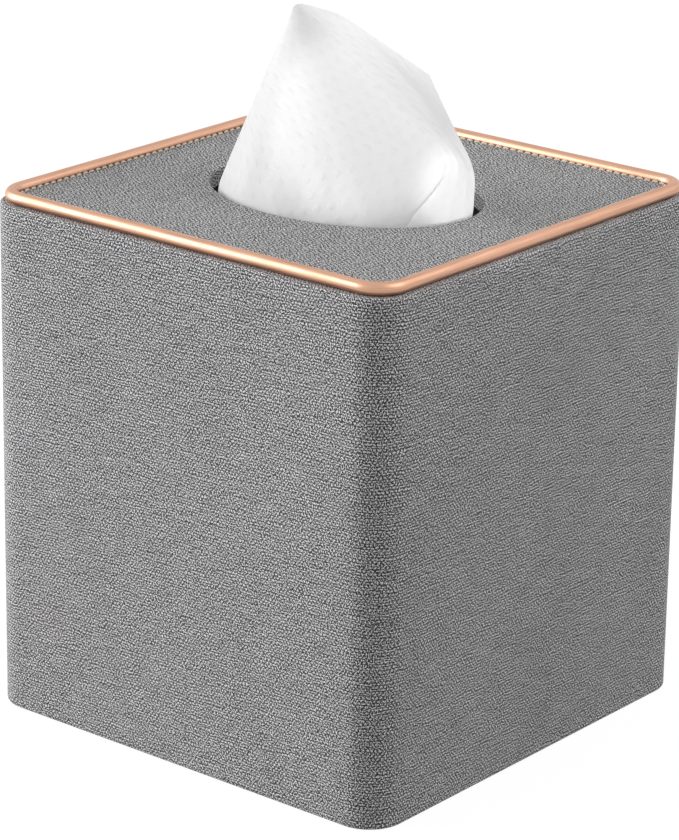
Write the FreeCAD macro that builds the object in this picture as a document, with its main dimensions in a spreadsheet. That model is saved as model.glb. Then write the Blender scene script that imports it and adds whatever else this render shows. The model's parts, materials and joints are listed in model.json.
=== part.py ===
"""Square tissue box cover: leatherette over rigid boards, piped top edge, oval mouth, magnetic bottom flap.

Millimetres, +Z up. The origin is on the floor, at the middle of the foot. The front faces -Y.
"""

import FreeCAD
import Part
import math
import os
import Sketcher
from FreeCAD import Placement, Rotation, Vector

# Driving dimensions: alias, value and meaning.
SIZES = [
    ("side", 130.0, "width and depth over the leatherette"),
    ("height", 140.0, "floor to the top of the piping"),
    ("corner_radius", 10.0, "outer radius of the upright corners"),
    ("skin_thick", 0.8, "leatherette"),
    ("wall_thick", 3.0, "wall boards and corner posts"),
    ("top_thick", 3.0, "top board"),
    ("lining_thick", 0.6, "cloth lining"),
    ("glue_line", 0.05, "gap left between glued faces"),
    ("tongue_thick", 1.0, "tongue that joins a board to a post"),
    ("tongue_length", 2.0, "reach of the tongue into the post"),
    ("tongue_gap", 0.1, "clearance round the tongue"),
    ("bead_dia", 3.4, "round bead of the piping"),
    ("bead_inset", 1.3, "wall face to the outside of the bead"),
    ("panel_drop", 0.2, "top panel below the middle of the bead"),
    ("flange_width", 3.2, "sewing flange of the piping, beyond the bead"),
    ("flange_thick", 0.8, "sewing flange"),
    ("seam_gap", 0.3, "butted ends of the piping and of the wall leatherette"),
    ("shoulder_radius", 1.4, "leatherette rolled over the top of the walls"),
    ("foot_radius", 0.9, "leatherette turned under the foot"),
    ("hem_reach", 13.0, "leatherette turned up inside the foot"),
    ("mouth_length", 76.6, "oval mouth along X"),
    ("mouth_width", 57.6, "oval mouth along Y"),
    ("mouth_radius", 0.6, "rounded rim of the mouth"),
    ("turn_in", 6.0, "leatherette glued under the top round the mouth"),
    ("flap_recess", 0.8, "underside of the flap above the floor"),
    ("flap_thick", 2.5, "flap board"),
    ("flap_gap", 0.6, "running gap round the flap"),
    ("hinge_thick", 0.6, "hinge strip, and the radius of its fold"),
    ("hinge_gap", 0.3, "flap edge to the fold of the hinge strip"),
    ("hinge_inset", 7.0, "end of the hinge strip to the start of the rounded corner"),
    ("hinge_rise", 11.0, "top of the hinge strip above the floor"),
    ("stop_gap", 0.3, "closed flap to the rails and to the refill"),
    ("rail_height", 6.0, "stop rails"),
    ("side_rail_width", 3.0, "left and right stop rails"),
    ("front_rail_width", 9.0, "front stop rail, which holds the magnets"),
    ("magnet_dia", 5.0, "catch magnets"),
    ("magnet_thick", 1.8, "catch magnets"),
    ("magnet_spacing", 60.0, "between the two magnets of a pair"),
    ("magnet_gap", 0.1, "clearance round a magnet in its pocket"),
    ("magnet_edge", 1.0, "flap board left in front of its magnets"),
    ("tab_width", 14.0, "ribbon tab"),
    ("tab_length", 18.0, "ribbon tab"),
    ("tab_thick", 0.5, "ribbon tab"),
    ("stack_height", 60.0, "refill of folded tissues"),
    ("stack_bulge", 0.9, "swell of the refill at its folds"),
    ("stack_gap", 0.6, "refill to the rails"),
    ("tissue_rise", 50.0, "tip of the drawn tissue above the top panel"),
    ("tissue_ply", 0.7, "drawn tissue with both plies and the air between"),
    ("tissue_gap", 0.9, "drawn tissue to the rim of the mouth"),
]
# No inner corner is sharper than this, however small the outer radius is set.
LEAST_RADIUS = 0.5
# A cutting block reaches this far past the faces that it cuts.
OVERCUT = 1.0

doc = FreeCAD.newDocument("TissueBoxCover")
sheet = doc.addObject("Spreadsheet::Sheet", "Sizes")
for row, (alias, value, meaning) in enumerate(SIZES, start=1):
    sheet.set(f"A{row}", alias)
    sheet.set(f"B{row}", str(value))
    sheet.set(f"C{row}", meaning)
    sheet.setAlias(f"B{row}", alias)
doc.recompute()


def cell(alias):
    """A sheet cell, for use in an expression."""
    return f"Sizes.{alias}"


def number(expression):
    """The present value of an expression."""
    return float(sheet.evalExpression(str(expression)))


def inset_half(*insets):
    """Half the side, less the given expressions."""
    return f"({cell('side')} / 2 - " + " - ".join(f"({inset})" for inset in insets) + ")"


def inset_radius(half):
    """Corner radius of an outline that lies inside the wall face, parallel to it."""
    return f"max({cell('corner_radius')} - {cell('side')} / 2 + {half}; {LEAST_RADIUS})"


# Heights, from the piping down.
BEAD_Z = f"({cell('height')} - {cell('bead_dia')} / 2)"
PANEL_TOP = f"({BEAD_Z} - {cell('panel_drop')})"
PANEL_UNDER = f"({PANEL_TOP} - {cell('skin_thick')})"
FIELD_Z = f"({PANEL_UNDER} - {cell('glue_line')})"
STEP_Z = f"({FIELD_Z} - {cell('flange_thick')} - {cell('glue_line')})"
HEM_TOP = f"({cell('height')} - {cell('bead_dia')} - {cell('glue_line')})"
HEM_UNDER = f"({HEM_TOP} - {cell('skin_thick')})"
LEDGE_Z = f"({HEM_UNDER} - {cell('glue_line')})"
TOP_UNDER = f"({FIELD_Z} - {cell('top_thick')})"
TURN_IN_Z = f"({TOP_UNDER} - {cell('glue_line')} - {cell('skin_thick')})"
WALL_TOP = f"({TOP_UNDER} - {cell('glue_line')})"
WALL_FOOT = f"({cell('skin_thick')} + {cell('glue_line')})"

# Half widths, from the wall face inwards.
OUTER = inset_half("0")
BOARD_OUT = inset_half(cell("skin_thick"), cell("glue_line"))
BOARD_IN = inset_half(cell("skin_thick"), cell("glue_line"), cell("wall_thick"))
HEM_OUT = f"({BOARD_IN} - {cell('glue_line')})"
HEM_IN = f"({HEM_OUT} - {cell('skin_thick')})"
LINING_IN = f"({BOARD_IN} - {cell('glue_line')} - {cell('lining_thick')})"
BEAD_HALF = inset_half(cell("bead_inset"), f"{cell('bead_dia')} / 2")
PANEL_HALF = inset_half(cell("bead_inset"), cell("bead_dia"), cell("glue_line"))
FLANGE_HALF = f"({PANEL_HALF} - {cell('flange_width')})"
POST_MIDDLE = inset_half(cell("corner_radius"))

# The flap, from its underside up.
FLAP_BOARD_Z = f"({cell('flap_recess')} + {cell('skin_thick')})"
FLAP_TOP = f"({FLAP_BOARD_Z} + {cell('flap_thick')} + {cell('glue_line')})"
FLAP_LINED = f"({FLAP_TOP} + {cell('glue_line')} + {cell('lining_thick')})"
RAIL_Z = f"({FLAP_LINED} + {cell('stop_gap')})"
HINGE_Y = f"({HEM_IN} - {cell('glue_line')} - {cell('hinge_thick')})"
FLAP_HALF = f"({HEM_IN} - {cell('flap_gap')})"
FLAP_BACK = f"({HINGE_Y} - {cell('hinge_thick')} - {cell('hinge_gap')})"
FLAP_RADIUS = f"({inset_radius(HEM_IN)} + {cell('flap_gap')})"
FLAP_BOARD_HALF = f"({FLAP_HALF} - {cell('skin_thick')} - {cell('glue_line')})"
MAGNET_Y = (f"({FLAP_BOARD_HALF} - {cell('magnet_edge')} - {cell('magnet_gap')} "
            f"- {cell('magnet_dia')} / 2)")
HINGE_HALF = f"({POST_MIDDLE} - {cell('hinge_inset')})"
STACK_HALF = (f"({HEM_IN} - {cell('glue_line')} - max({cell('front_rail_width')}; "
              f"{cell('side_rail_width')}) - {cell('stack_gap')})")
STACK_TOP = f"({RAIL_Z} + {cell('stack_height')})"

finished = []


def finish(shape_object, label):
    """Name a finished piece and keep it for the export."""
    shape_object.Label = label
    finished.append(shape_object)
    return shape_object


def new_body(name):
    return doc.addObject("PartDesign::Body", name)


def new_sketch(body, name, level, role="XY_Plane"):
    """A sketch on one of the body's own planes, raised by level."""
    sketch = body.newObject("Sketcher::SketchObject", name)
    plane = [feature for feature in body.Origin.OriginFeatures if feature.Role == role][0]
    sketch.AttachmentSupport = [(plane, "")]
    sketch.MapMode = "FlatFace"
    sketch.setExpression("AttachmentOffset.Base.z", str(level))
    return sketch


def bind(sketch, constraint, expression):
    """Add a dimension and tie it to an expression."""
    index = sketch.addConstraint(constraint)
    sketch.setExpression(f"Constraints[{index}]", str(expression))


def draw_outline(sketch, left, right, front, back, radius):
    """Rounded rectangle that reaches left, right, front and back of the origin."""
    x0, x1, y0, y1 = -number(left), number(right), -number(front), number(back)
    r = number(radius)
    corners = [(x1 - r, y0 + r, -90), (x1 - r, y1 - r, 0), (x0 + r, y1 - r, 90), (x0 + r, y0 + r, 180)]
    lines, arcs = [], []
    for index, (cx, cy, start) in enumerate(corners):
        a0, a1 = math.radians(start), math.radians(start + 90)
        circle = Part.Circle(Vector(cx, cy, 0), Vector(0, 0, 1), r)
        arcs.append(sketch.addGeometry(Part.ArcOfCircle(circle, a0, a1)))
        nx, ny, _ = corners[(index + 1) % 4]
        begin = Vector(cx + r * math.cos(a1), cy + r * math.sin(a1), 0)
        end = Vector(nx + r * math.cos(a1), ny + r * math.sin(a1), 0)
        lines.append(sketch.addGeometry(Part.LineSegment(begin, end)))
    for index in range(4):
        sketch.addConstraint(Sketcher.Constraint("Tangent", arcs[index], 2, lines[index], 1))
        sketch.addConstraint(Sketcher.Constraint("Tangent", lines[index], 2, arcs[(index + 1) % 4], 1))
    for index, kind in enumerate(["Vertical", "Horizontal", "Vertical", "Horizontal"]):
        sketch.addConstraint(Sketcher.Constraint(kind, lines[index]))
    for arc in arcs[1:]:
        sketch.addConstraint(Sketcher.Constraint("Equal", arcs[0], arc))
    bind(sketch, Sketcher.Constraint("Radius", arcs[0], r), radius)
    bind(sketch, Sketcher.Constraint("DistanceX", -1, 1, lines[0], 1, x1), right)
    bind(sketch, Sketcher.Constraint("DistanceY", -1, 1, lines[1], 1, y1), back)
    bind(sketch, Sketcher.Constraint("DistanceX", lines[2], 1, -1, 1, -x0), left)
    bind(sketch, Sketcher.Constraint("DistanceY", lines[3], 1, -1, 1, -y0), front)


def draw_square(sketch, half):
    """Rounded square parallel to the wall face."""
    draw_outline(sketch, half, half, half, half, inset_radius(half))


def add_pad(body, sketch, height):
    pad = body.newObject("PartDesign::Pad", f"{sketch.Name}_pad")
    pad.Profile = sketch
    pad.setExpression("Length", str(height))
    sketch.Visibility = False
    return pad


def add_pocket(body, sketch, depth):
    """Cut downwards from the sketch."""
    pocket = body.newObject("PartDesign::Pocket", f"{sketch.Name}_pocket")
    pocket.Profile = sketch
    pocket.setExpression("Length", str(depth))
    return pocket


def pad_square(body, name, half, bottom, top, hollow=None):
    """Upright prism on a rounded square, or a ring where hollow gives its inner half width."""
    sketch = new_sketch(body, name, bottom)
    draw_square(sketch, half)
    if hollow:
        draw_square(sketch, hollow)
    return add_pad(body, sketch, f"{top} - {bottom}")


def cut_square(body, name, half, bottom, top, core=None):
    """Cut a rounded square between two heights, round a standing core where one is given."""
    sketch = new_sketch(body, name, top)
    draw_square(sketch, half)
    if core:
        draw_square(sketch, core)
    return add_pocket(body, sketch, f"{top} - {bottom}")


def new_box(name, x_range, y_range, z_range):
    """Part::Box between pairs of expressions."""
    box = doc.addObject("Part::Box", name)
    ranges = (x_range, y_range, z_range)
    for size, axis, (low, high) in zip(("Length", "Width", "Height"), "xyz", ranges):
        box.setExpression(size, f"{high} - ({low})")
        box.setExpression(f"Placement.Base.{axis}", str(low))
    return box


def new_cylinder(name, radius, x, y, bottom, top):
    """Upright Part::Cylinder between two heights."""
    cylinder = doc.addObject("Part::Cylinder", name)
    cylinder.setExpression("Radius", str(radius))
    cylinder.setExpression("Height", f"{top} - ({bottom})")
    for axis, place in zip("xyz", (x, y, bottom)):
        cylinder.setExpression(f"Placement.Base.{axis}", str(place))
    return cylinder


def new_oval(name, grow, bottom, top):
    """Upright oval block: the mouth, grown by an expression."""
    ellipse = doc.addObject("Part::Ellipse", f"{name}_line")
    ellipse.setExpression("MajorRadius", f"{cell('mouth_length')} / 2 + {grow}")
    ellipse.setExpression("MinorRadius", f"{cell('mouth_width')} / 2 + {grow}")
    ellipse.setExpression("Placement.Base.z", str(bottom))
    block = doc.addObject("Part::Extrusion", name)
    block.Base = ellipse
    block.DirMode = "Custom"
    block.Dir = Vector(0, 0, 1)
    block.Solid = True
    block.setExpression("LengthFwd", f"{top} - ({bottom})")
    return block


def join(name, pieces):
    fuse = doc.addObject("Part::MultiFuse", name)
    fuse.Shapes = pieces
    fuse.Refine = True
    return fuse


def cut(name, base, tool):
    result = doc.addObject("Part::Cut", name)
    result.Base = base
    result.Tool = tool
    return result


def turned(shape_object, degrees):
    """Turn a finished piece about the middle of the cover."""
    shape_object.Placement = Placement(Vector(0, 0, 0), Rotation(Vector(0, 0, 1), degrees))
    return shape_object


# Carcass: four boards tongued into four quarter-round posts, with the top board laid on them.
WALL_MIDDLE = f"({BOARD_IN} + {cell('wall_thick')} / 2)"


def make_wall_board(name, degrees):
    """Board along the front, then turned to its own side."""
    board = new_box(f"{name}_panel", (f"-{POST_MIDDLE}", POST_MIDDLE), (f"-{BOARD_OUT}", f"-{BOARD_IN}"),
                    (WALL_FOOT, WALL_TOP))
    reach = f"({POST_MIDDLE} + {cell('tongue_length')})"
    middle = f"-{WALL_MIDDLE}"
    tongue = new_box(f"{name}_tongues", (f"-{reach}", reach),
                     (f"{middle} - {cell('tongue_thick')} / 2", f"{middle} + {cell('tongue_thick')} / 2"),
                     (WALL_FOOT, WALL_TOP))
    return finish(turned(join(f"{name}_joined", [board, tongue]), degrees), name)


def make_corner_post(name, degrees):
    """Quarter-round post at the front right corner, grooved for the tongues, then turned to its corner."""
    middle = POST_MIDDLE
    outer_radius = f"({BOARD_OUT} - {middle})"
    inner_radius = f"max({BOARD_IN} - {middle}; {LEAST_RADIUS})"
    outer = new_cylinder(f"{name}_outer", outer_radius, middle, f"-{middle}", WALL_FOOT, WALL_TOP)
    inner = new_cylinder(f"{name}_inner", inner_radius, middle, f"-{middle}", WALL_FOOT, WALL_TOP)
    for cylinder in (outer, inner):
        cylinder.Angle = 90
        cylinder.Placement.Rotation = Rotation(Vector(0, 0, 1), -90)
    half_groove = f"({cell('tongue_thick')} / 2 + {cell('tongue_gap')})"
    start = f"({middle} + {cell('glue_line')})"
    depth = f"({middle} + {cell('tongue_length')} + {cell('tongue_gap')})"
    near, far = f"({WALL_MIDDLE} - {half_groove})", f"({WALL_MIDDLE} + {half_groove})"
    upright = (WALL_FOOT, WALL_TOP)
    front_groove = new_box(f"{name}_front_groove", (middle, depth), (f"-{far}", f"-{near}"), upright)
    side_groove = new_box(f"{name}_side_groove", (near, far), (f"-{depth}", f"-{middle}"), upright)
    beyond = f"({BOARD_OUT} + {OVERCUT})"
    seat = new_box(f"{name}_seat", (start, beyond), (f"-{beyond}", f"-{start}"), upright)
    quarter = doc.addObject("Part::MultiCommon", f"{name}_quarter")
    quarter.Shapes = [cut(f"{name}_ring", outer, inner), seat]
    grooves = join(f"{name}_grooves", [front_groove, side_groove])
    return finish(turned(cut(f"{name}_grooved", quarter, grooves), degrees), name)


for side_name, angle in (("front", 0), ("right", 90), ("back", 180), ("left", 270)):
    make_wall_board(f"{side_name}_board", angle)
for corner_name, angle in (("front_right", 0), ("back_right", 90), ("back_left", 180), ("front_left", 270)):
    make_corner_post(f"{corner_name}_post", angle)


def make_top_board():
    """Board with two steps round its edge: one for the bead and the hem, one for the sewing flange."""
    body = new_body("top_board_blank")
    pad_square(body, "top_board_plate", BOARD_OUT, TOP_UNDER, LEDGE_Z)
    pad_square(body, "top_board_step", f"({PANEL_HALF} - {cell('glue_line')})", LEDGE_Z, STEP_Z)
    pad_square(body, "top_board_field", f"({FLANGE_HALF} - {cell('glue_line')})", STEP_Z, FIELD_Z)
    mouth = new_oval("top_board_mouth", f"{cell('skin_thick')} + {cell('glue_line')}", TOP_UNDER, FIELD_Z)
    return finish(cut("top_board_cut", body, mouth), "top_board")


make_top_board()


# Leatherette and piping.
def edge_names(shape, wanted):
    """Names of the edges whose every vertex passes the test."""
    return [f"Edge{index}" for index, edge in enumerate(shape.Edges, start=1)
            if all(wanted(vertex.Point) for vertex in edge.Vertexes)]


def round_edges(body, base, height, radius):
    """Fillet the edges of a body's last feature that lie at one height."""
    doc.recompute()
    level = number(height)
    fillet = body.newObject("PartDesign::Fillet", f"{base.Name}_fillet")
    fillet.Base = (base, edge_names(base.Shape, lambda point: abs(point.z - level) < 1e-6))
    fillet.setExpression("Radius", str(radius))
    return fillet


def make_wall_skin():
    """Band round the walls, rolled over the top board's ledge, turned under and up inside the foot."""
    body = new_body("wall_skin_band")
    block = pad_square(body, "wall_skin_block", OUTER, "0", HEM_TOP)
    shoulder = round_edges(body, block, HEM_TOP, cell("shoulder_radius"))
    round_edges(body, shoulder, "0", cell("foot_radius"))
    wall_face = inset_half(cell("skin_thick"))
    cut_square(body, "wall_skin_top", f"({BEAD_HALF} + {cell('glue_line')})", HEM_UNDER, HEM_TOP)
    cut_square(body, "wall_skin_inside", wall_face, cell("hem_reach"), HEM_UNDER)
    cut_square(body, "wall_skin_boards", wall_face, cell("skin_thick"), cell("hem_reach"), core=HEM_OUT)
    cut_square(body, "wall_skin_core", HEM_IN, "0", cell("hem_reach"))
    half_gap = f"{cell('seam_gap')} / 2"
    seam = new_box("wall_skin_seam", (f"-{half_gap}", half_gap),
                   (f"{HEM_IN} - {OVERCUT}", f"{OUTER} + {OVERCUT}"), ("0", cell("height")))
    return finish(cut("wall_skin_cut", body, seam), "wall_skin")


def make_top_skin():
    """Top panel, turned down through the mouth and glued under the top board."""
    body = new_body("top_skin_panel")
    pad_square(body, "top_skin_plate", PANEL_HALF, PANEL_UNDER, PANEL_TOP)
    sleeve = new_oval("top_skin_sleeve", cell("skin_thick"), TURN_IN_Z, PANEL_TOP)
    turned_in = new_oval("top_skin_turned", f"{cell('skin_thick')} + {cell('turn_in')}", TURN_IN_Z,
                         f"{TURN_IN_Z} + {cell('skin_thick')}")
    mouth = new_oval("top_skin_mouth", "0", f"{TURN_IN_Z} - {OVERCUT}", f"{PANEL_TOP} + {OVERCUT}")
    open_skin = cut("top_skin_open", join("top_skin_joined", [body, sleeve, turned_in]), mouth)
    doc.recompute()
    level = number(PANEL_TOP)
    reach = number(f"{cell('mouth_length')} / 2 + {cell('skin_thick')}")
    rim = [index for index, edge in enumerate(open_skin.Shape.Edges, start=1)
           if all(abs(v.Z - level) < 1e-6 and math.hypot(v.X, v.Y) < reach for v in edge.Vertexes)]
    rounded = doc.addObject("Part::Fillet", "top_skin_rounded")
    rounded.Base = open_skin
    radius = number(cell("mouth_radius"))
    rounded.Edges = [(index, radius, radius) for index in rim]
    return finish(rounded, "top_skin")


def make_piping():
    """Bead carried round the top edge with its flat sewing flange, ends butted at the back."""
    body = new_body("piping_bead")
    path = new_sketch(body, "piping_path", BEAD_Z)
    draw_square(path, BEAD_HALF)
    section = new_sketch(body, "piping_section", "0", "YZ_Plane")
    centre = section.addGeometry(Part.Circle(Vector(-number(BEAD_HALF), number(BEAD_Z), 0), Vector(0, 0, 1),
                                             number(f"{cell('bead_dia')} / 2")))
    bind(section, Sketcher.Constraint("Radius", centre, number(f"{cell('bead_dia')} / 2")),
         f"{cell('bead_dia')} / 2")
    bind(section, Sketcher.Constraint("DistanceX", centre, 3, -1, 1, number(BEAD_HALF)), BEAD_HALF)
    bind(section, Sketcher.Constraint("DistanceY", -1, 1, centre, 3, number(BEAD_Z)), BEAD_Z)
    doc.recompute()
    bead = body.newObject("PartDesign::AdditivePipe", "piping_sweep")
    bead.Profile = section
    bead.Spine = (path, [f"Edge{index + 1}" for index in range(len(path.Shape.Edges))])
    bead.Mode = "Frenet"
    flange = new_body("piping_flange")
    low = f"({STEP_Z} + {cell('glue_line')})"
    pad_square(flange, "piping_flange_ring", BEAD_HALF, low, FIELD_Z, hollow=FLANGE_HALF)
    half_gap = f"{cell('seam_gap')} / 2"
    butt = new_box("piping_butt", (f"-{half_gap}", half_gap), (f"{FLANGE_HALF} - {OVERCUT}", OUTER),
                   (HEM_UNDER, f"{cell('height')} + {OVERCUT}"))
    return finish(cut("piping_cut", join("piping_joined", [body, flange]), butt), "piping")


make_wall_skin()
make_top_skin()
make_piping()


# Linings.
def make_linings():
    walls = new_body("wall_lining_sleeve")
    pad_square(walls, "wall_lining_ring", f"({BOARD_IN} - {cell('glue_line')})",
               f"({cell('hem_reach')} + {cell('glue_line')})", WALL_TOP, hollow=LINING_IN)
    finish(walls, "wall_lining")
    top = new_body("top_lining_panel")
    under = f"({TOP_UNDER} - {cell('glue_line')} - {cell('lining_thick')})"
    pad_square(top, "top_lining_plate", f"({LINING_IN} - {cell('glue_line')})", under,
               f"({TOP_UNDER} - {cell('glue_line')})")
    clear = f"{cell('skin_thick')} + {cell('turn_in')} + {cell('glue_line')}"
    mouth = new_oval("top_lining_mouth", clear, f"{under} - {OVERCUT}", TOP_UNDER)
    finish(cut("top_lining_cut", top, mouth), "top_lining")


make_linings()


# Bottom flap, the rails that stop it, its magnets and its hinge.
def draw_flap(sketch, inset):
    """Outline of the flap, drawn in by an expression: short of the hinge strip at the back."""
    side = f"({FLAP_HALF} - ({inset}))"
    radius = f"max({FLAP_RADIUS} - ({inset}); {LEAST_RADIUS})"
    draw_outline(sketch, side, side, side, f"({FLAP_BACK} - ({inset}))", radius)


def magnet_pair(name, grow, bottom, top):
    """Two upright discs over the middle of the front rail."""
    radius = f"{cell('magnet_dia')} / 2 + {grow}"
    apart = f"{cell('magnet_spacing')} / 2"
    places = (("left", f"-{apart}"), ("right", apart))
    return join(name, [new_cylinder(f"{name}_{side}", radius, x, f"-{MAGNET_Y}", bottom, top)
                       for side, x in places])


def make_flap():
    skin = new_body("flap_skin_tray")
    outline = new_sketch(skin, "flap_skin_outline", cell("flap_recess"))
    draw_flap(outline, "0")
    add_pad(skin, outline, f"{FLAP_TOP} - {cell('flap_recess')}")
    inside = new_sketch(skin, "flap_skin_inside", FLAP_TOP)
    draw_flap(inside, cell("skin_thick"))
    add_pocket(skin, inside, f"{FLAP_TOP} - {FLAP_BOARD_Z}")
    finish(skin, "flap_skin")

    blank = new_body("flap_board_blank")
    plate = new_sketch(blank, "flap_board_outline", f"({FLAP_BOARD_Z} + {cell('glue_line')})")
    draw_flap(plate, f"{cell('skin_thick')} + {cell('glue_line')}")
    add_pad(blank, plate, cell("flap_thick"))
    floor = f"({FLAP_TOP} - {cell('magnet_thick')} - {cell('magnet_gap')})"
    pockets = magnet_pair("flap_magnet_pockets", cell("magnet_gap"), floor, f"{FLAP_TOP} + {OVERCUT}")
    finish(cut("flap_board_cut", blank, pockets), "flap_board")
    seated = f"({FLAP_TOP} - {cell('magnet_thick')})"
    finish(magnet_pair("flap_magnet_pair", "0", seated, FLAP_TOP), "flap_magnets")

    lining = new_body("flap_lining_panel")
    sheet_outline = new_sketch(lining, "flap_lining_outline", f"({FLAP_TOP} + {cell('glue_line')})")
    draw_flap(sheet_outline, f"{cell('skin_thick')} / 2")
    add_pad(lining, sheet_outline, cell("lining_thick"))
    finish(lining, "flap_lining")

    tab = new_body("pull_tab_ribbon")
    tab_under = f"({cell('flap_recess')} - {cell('glue_line')} - {cell('tab_thick')})"
    ribbon = new_sketch(tab, "pull_tab_outline", tab_under)
    half = f"({cell('tab_width')} / 2)"
    tab_front = f"({FLAP_HALF} - {cell('skin_thick')})"
    draw_outline(ribbon, half, half, tab_front, f"({cell('tab_length')} - {tab_front})",
                 f"({cell('tab_width')} / 4)")
    add_pad(tab, ribbon, cell("tab_thick"))
    finish(tab, "pull_tab")


def make_rails():
    rail_top = f"({RAIL_Z} + {cell('rail_height')})"
    glued = f"({HEM_IN} - {cell('glue_line')})"
    front_inner = f"({glued} - {cell('front_rail_width')})"
    bar = new_box("front_rail_bar", (f"-{POST_MIDDLE}", POST_MIDDLE), (f"-{glued}", f"-{front_inner}"),
                  (RAIL_Z, rail_top))
    pocket_top = f"({RAIL_Z} + {cell('magnet_thick')} + {cell('magnet_gap')})"
    pockets = magnet_pair("rail_magnet_pockets", cell("magnet_gap"), f"{RAIL_Z} - {OVERCUT}", pocket_top)
    finish(cut("front_rail_cut", bar, pockets), "front_rail")
    finish(magnet_pair("rail_magnet_pair", "0", RAIL_Z, f"{RAIL_Z} + {cell('magnet_thick')}"), "rail_magnets")
    side_inner = f"({glued} - {cell('side_rail_width')})"
    along = (f"-{front_inner} + {cell('stack_gap')}", POST_MIDDLE)
    finish(new_box("left_rail_bar", (f"-{glued}", f"-{side_inner}"), along, (RAIL_Z, rail_top)), "left_rail")
    finish(new_box("right_rail_bar", (side_inner, glued), along, (RAIL_Z, rail_top)), "right_rail")


def make_hinge_strip():
    """Leaf glued inside the back, ending in a round fold that the flap turns about."""
    leaf = new_box("hinge_leaf", (f"-{HINGE_HALF}", HINGE_HALF),
                   (HINGE_Y, f"{HINGE_Y} + {cell('hinge_thick')}"), (cell("flap_recess"), cell("hinge_rise")))
    fold = doc.addObject("Part::Cylinder", "hinge_fold")
    fold.Placement.Rotation = Rotation(Vector(0, 1, 0), 90)
    fold.setExpression("Radius", cell("hinge_thick"))
    fold.setExpression("Height", f"2 * {HINGE_HALF}")
    for axis, place in zip("xyz", (f"-{HINGE_HALF}", HINGE_Y, cell("flap_recess"))):
        fold.setExpression(f"Placement.Base.{axis}", str(place))
    finish(join("hinge_joined", [leaf, fold]), "hinge_strip")


make_flap()
make_rails()
make_hinge_strip()


# Refill and the tissue drawn from it.
def make_tissue_stack():
    """Pile of folded sheets: flat cut edges at left and right, round folds at front and back."""
    body = new_body("tissue_stack_pile")
    sketch = new_sketch(body, "tissue_stack_section", f"-{STACK_HALF}", "YZ_Plane")
    flat = f"({STACK_HALF} - {cell('stack_bulge')})"
    y, low, high = number(flat), number(RAIL_Z), number(STACK_TOP)
    bulge = Vector(number(STACK_HALF), (low + high) / 2, 0)
    under = sketch.addGeometry(Part.LineSegment(Vector(-y, low, 0), Vector(y, low, 0)))
    back = sketch.addGeometry(Part.Arc(Vector(y, low, 0), bulge, Vector(y, high, 0)))
    over = sketch.addGeometry(Part.LineSegment(Vector(y, high, 0), Vector(-y, high, 0)))
    hollow = Vector(-bulge.x, bulge.y, 0)
    front = sketch.addGeometry(Part.Arc(Vector(-y, high, 0), hollow, Vector(-y, low, 0)))
    ends = ((under, 2, back, 1), (back, 2, over, 1), (over, 2, front, 1), (front, 2, under, 1))
    for first, first_end, second, second_end in ends:
        sketch.addConstraint(Sketcher.Constraint("Coincident", first, first_end, second, second_end))
    for line in (under, over):
        sketch.addConstraint(Sketcher.Constraint("Horizontal", line))
    sketch.addConstraint(Sketcher.Constraint("Equal", back, front))
    bind(sketch, Sketcher.Constraint("DistanceX", -1, 1, under, 2, y), flat)
    bind(sketch, Sketcher.Constraint("DistanceX", under, 1, -1, 1, y), flat)
    bind(sketch, Sketcher.Constraint("DistanceX", -1, 1, over, 1, y), flat)
    bind(sketch, Sketcher.Constraint("DistanceY", -1, 1, under, 1, low), RAIL_Z)
    bind(sketch, Sketcher.Constraint("DistanceY", -1, 1, over, 1, high), STACK_TOP)
    rise, swell = f"({cell('stack_height')} / 2)", cell("stack_bulge")
    radius = f"({rise} * {rise} + {swell} * {swell}) / (2 * {swell})"
    bind(sketch, Sketcher.Constraint("Radius", back, number(radius)), radius)
    add_pad(body, sketch, f"2 * {STACK_HALF}")
    finish(body, "tissue_stack")


# Folds of the drawn tissue, round the sheet from its left edge. Each runs from the mouth up to the waist of
# the tent and on to its sloping top edge, at places in shares of the mouth's half length and half width.
TISSUE_FOLDS = {
    "left_edge": ((-0.68, -0.73), (-0.56, -0.67), (-0.19, -0.44)),
    "front_left": ((-0.03, -0.98), (-0.07, -0.86), (-0.17, -0.456)),
    "front": ((0.63, -0.75), (0.44, -0.68), (-0.15, -0.47)),
    "ridge": ((0.97, -0.24), (0.92, 0.07), (-0.13, -0.44)),
    "shoulder": ((0.98, 0.19), (0.82, 0.43), (0.33, 0.64)),
    "back_right": ((0.74, 0.20), (0.52, 0.38), (0.28, 0.65)),
    "back_left": ((-0.42, -0.36), (-0.34, -0.36), (-0.19, -0.39)),
}
# The waist and the top of the hollow, in shares of the rise. The tail, as a share of the mouth's section.
TISSUE_WAIST = 0.24
TISSUE_HOLLOW = 0.45
TISSUE_TAIL = 0.62
# The top edge falls by this much for each unit of its run from the tip to the shoulder.
TISSUE_FALL = 0.58


def tissue_sections():
    """Corners of the tail, the mouth, the waist and the top edge, one for each fold."""
    gap = number(cell("tissue_gap"))
    half_x = number(f"{cell('mouth_length')} / 2") - gap
    half_y = number(f"{cell('mouth_width')} / 2") - gap
    panel, rise = number(PANEL_TOP), number(cell("tissue_rise"))
    levels = (panel, panel + TISSUE_WAIST * rise, panel + rise)
    mouth, waist, top = [[Vector(fold[step][0] * half_x, fold[step][1] * half_y, level)
                          for fold in TISSUE_FOLDS.values()] for step, level in enumerate(levels)]
    tip, shoulder = [top[list(TISSUE_FOLDS).index(name)] for name in ("front", "shoulder")]
    crest = (shoulder - tip).normalize()
    top = [corner - Vector(0, 0, TISSUE_FALL * (corner - tip).dot(crest)) for corner in top]
    drop = Vector(0, 0, panel - number(STACK_TOP) - number(cell("stop_gap")))
    middle = centre_of(mouth)
    tail = [middle + (corner - middle) * TISSUE_TAIL - drop for corner in mouth]
    return tail, mouth, waist, top


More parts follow.
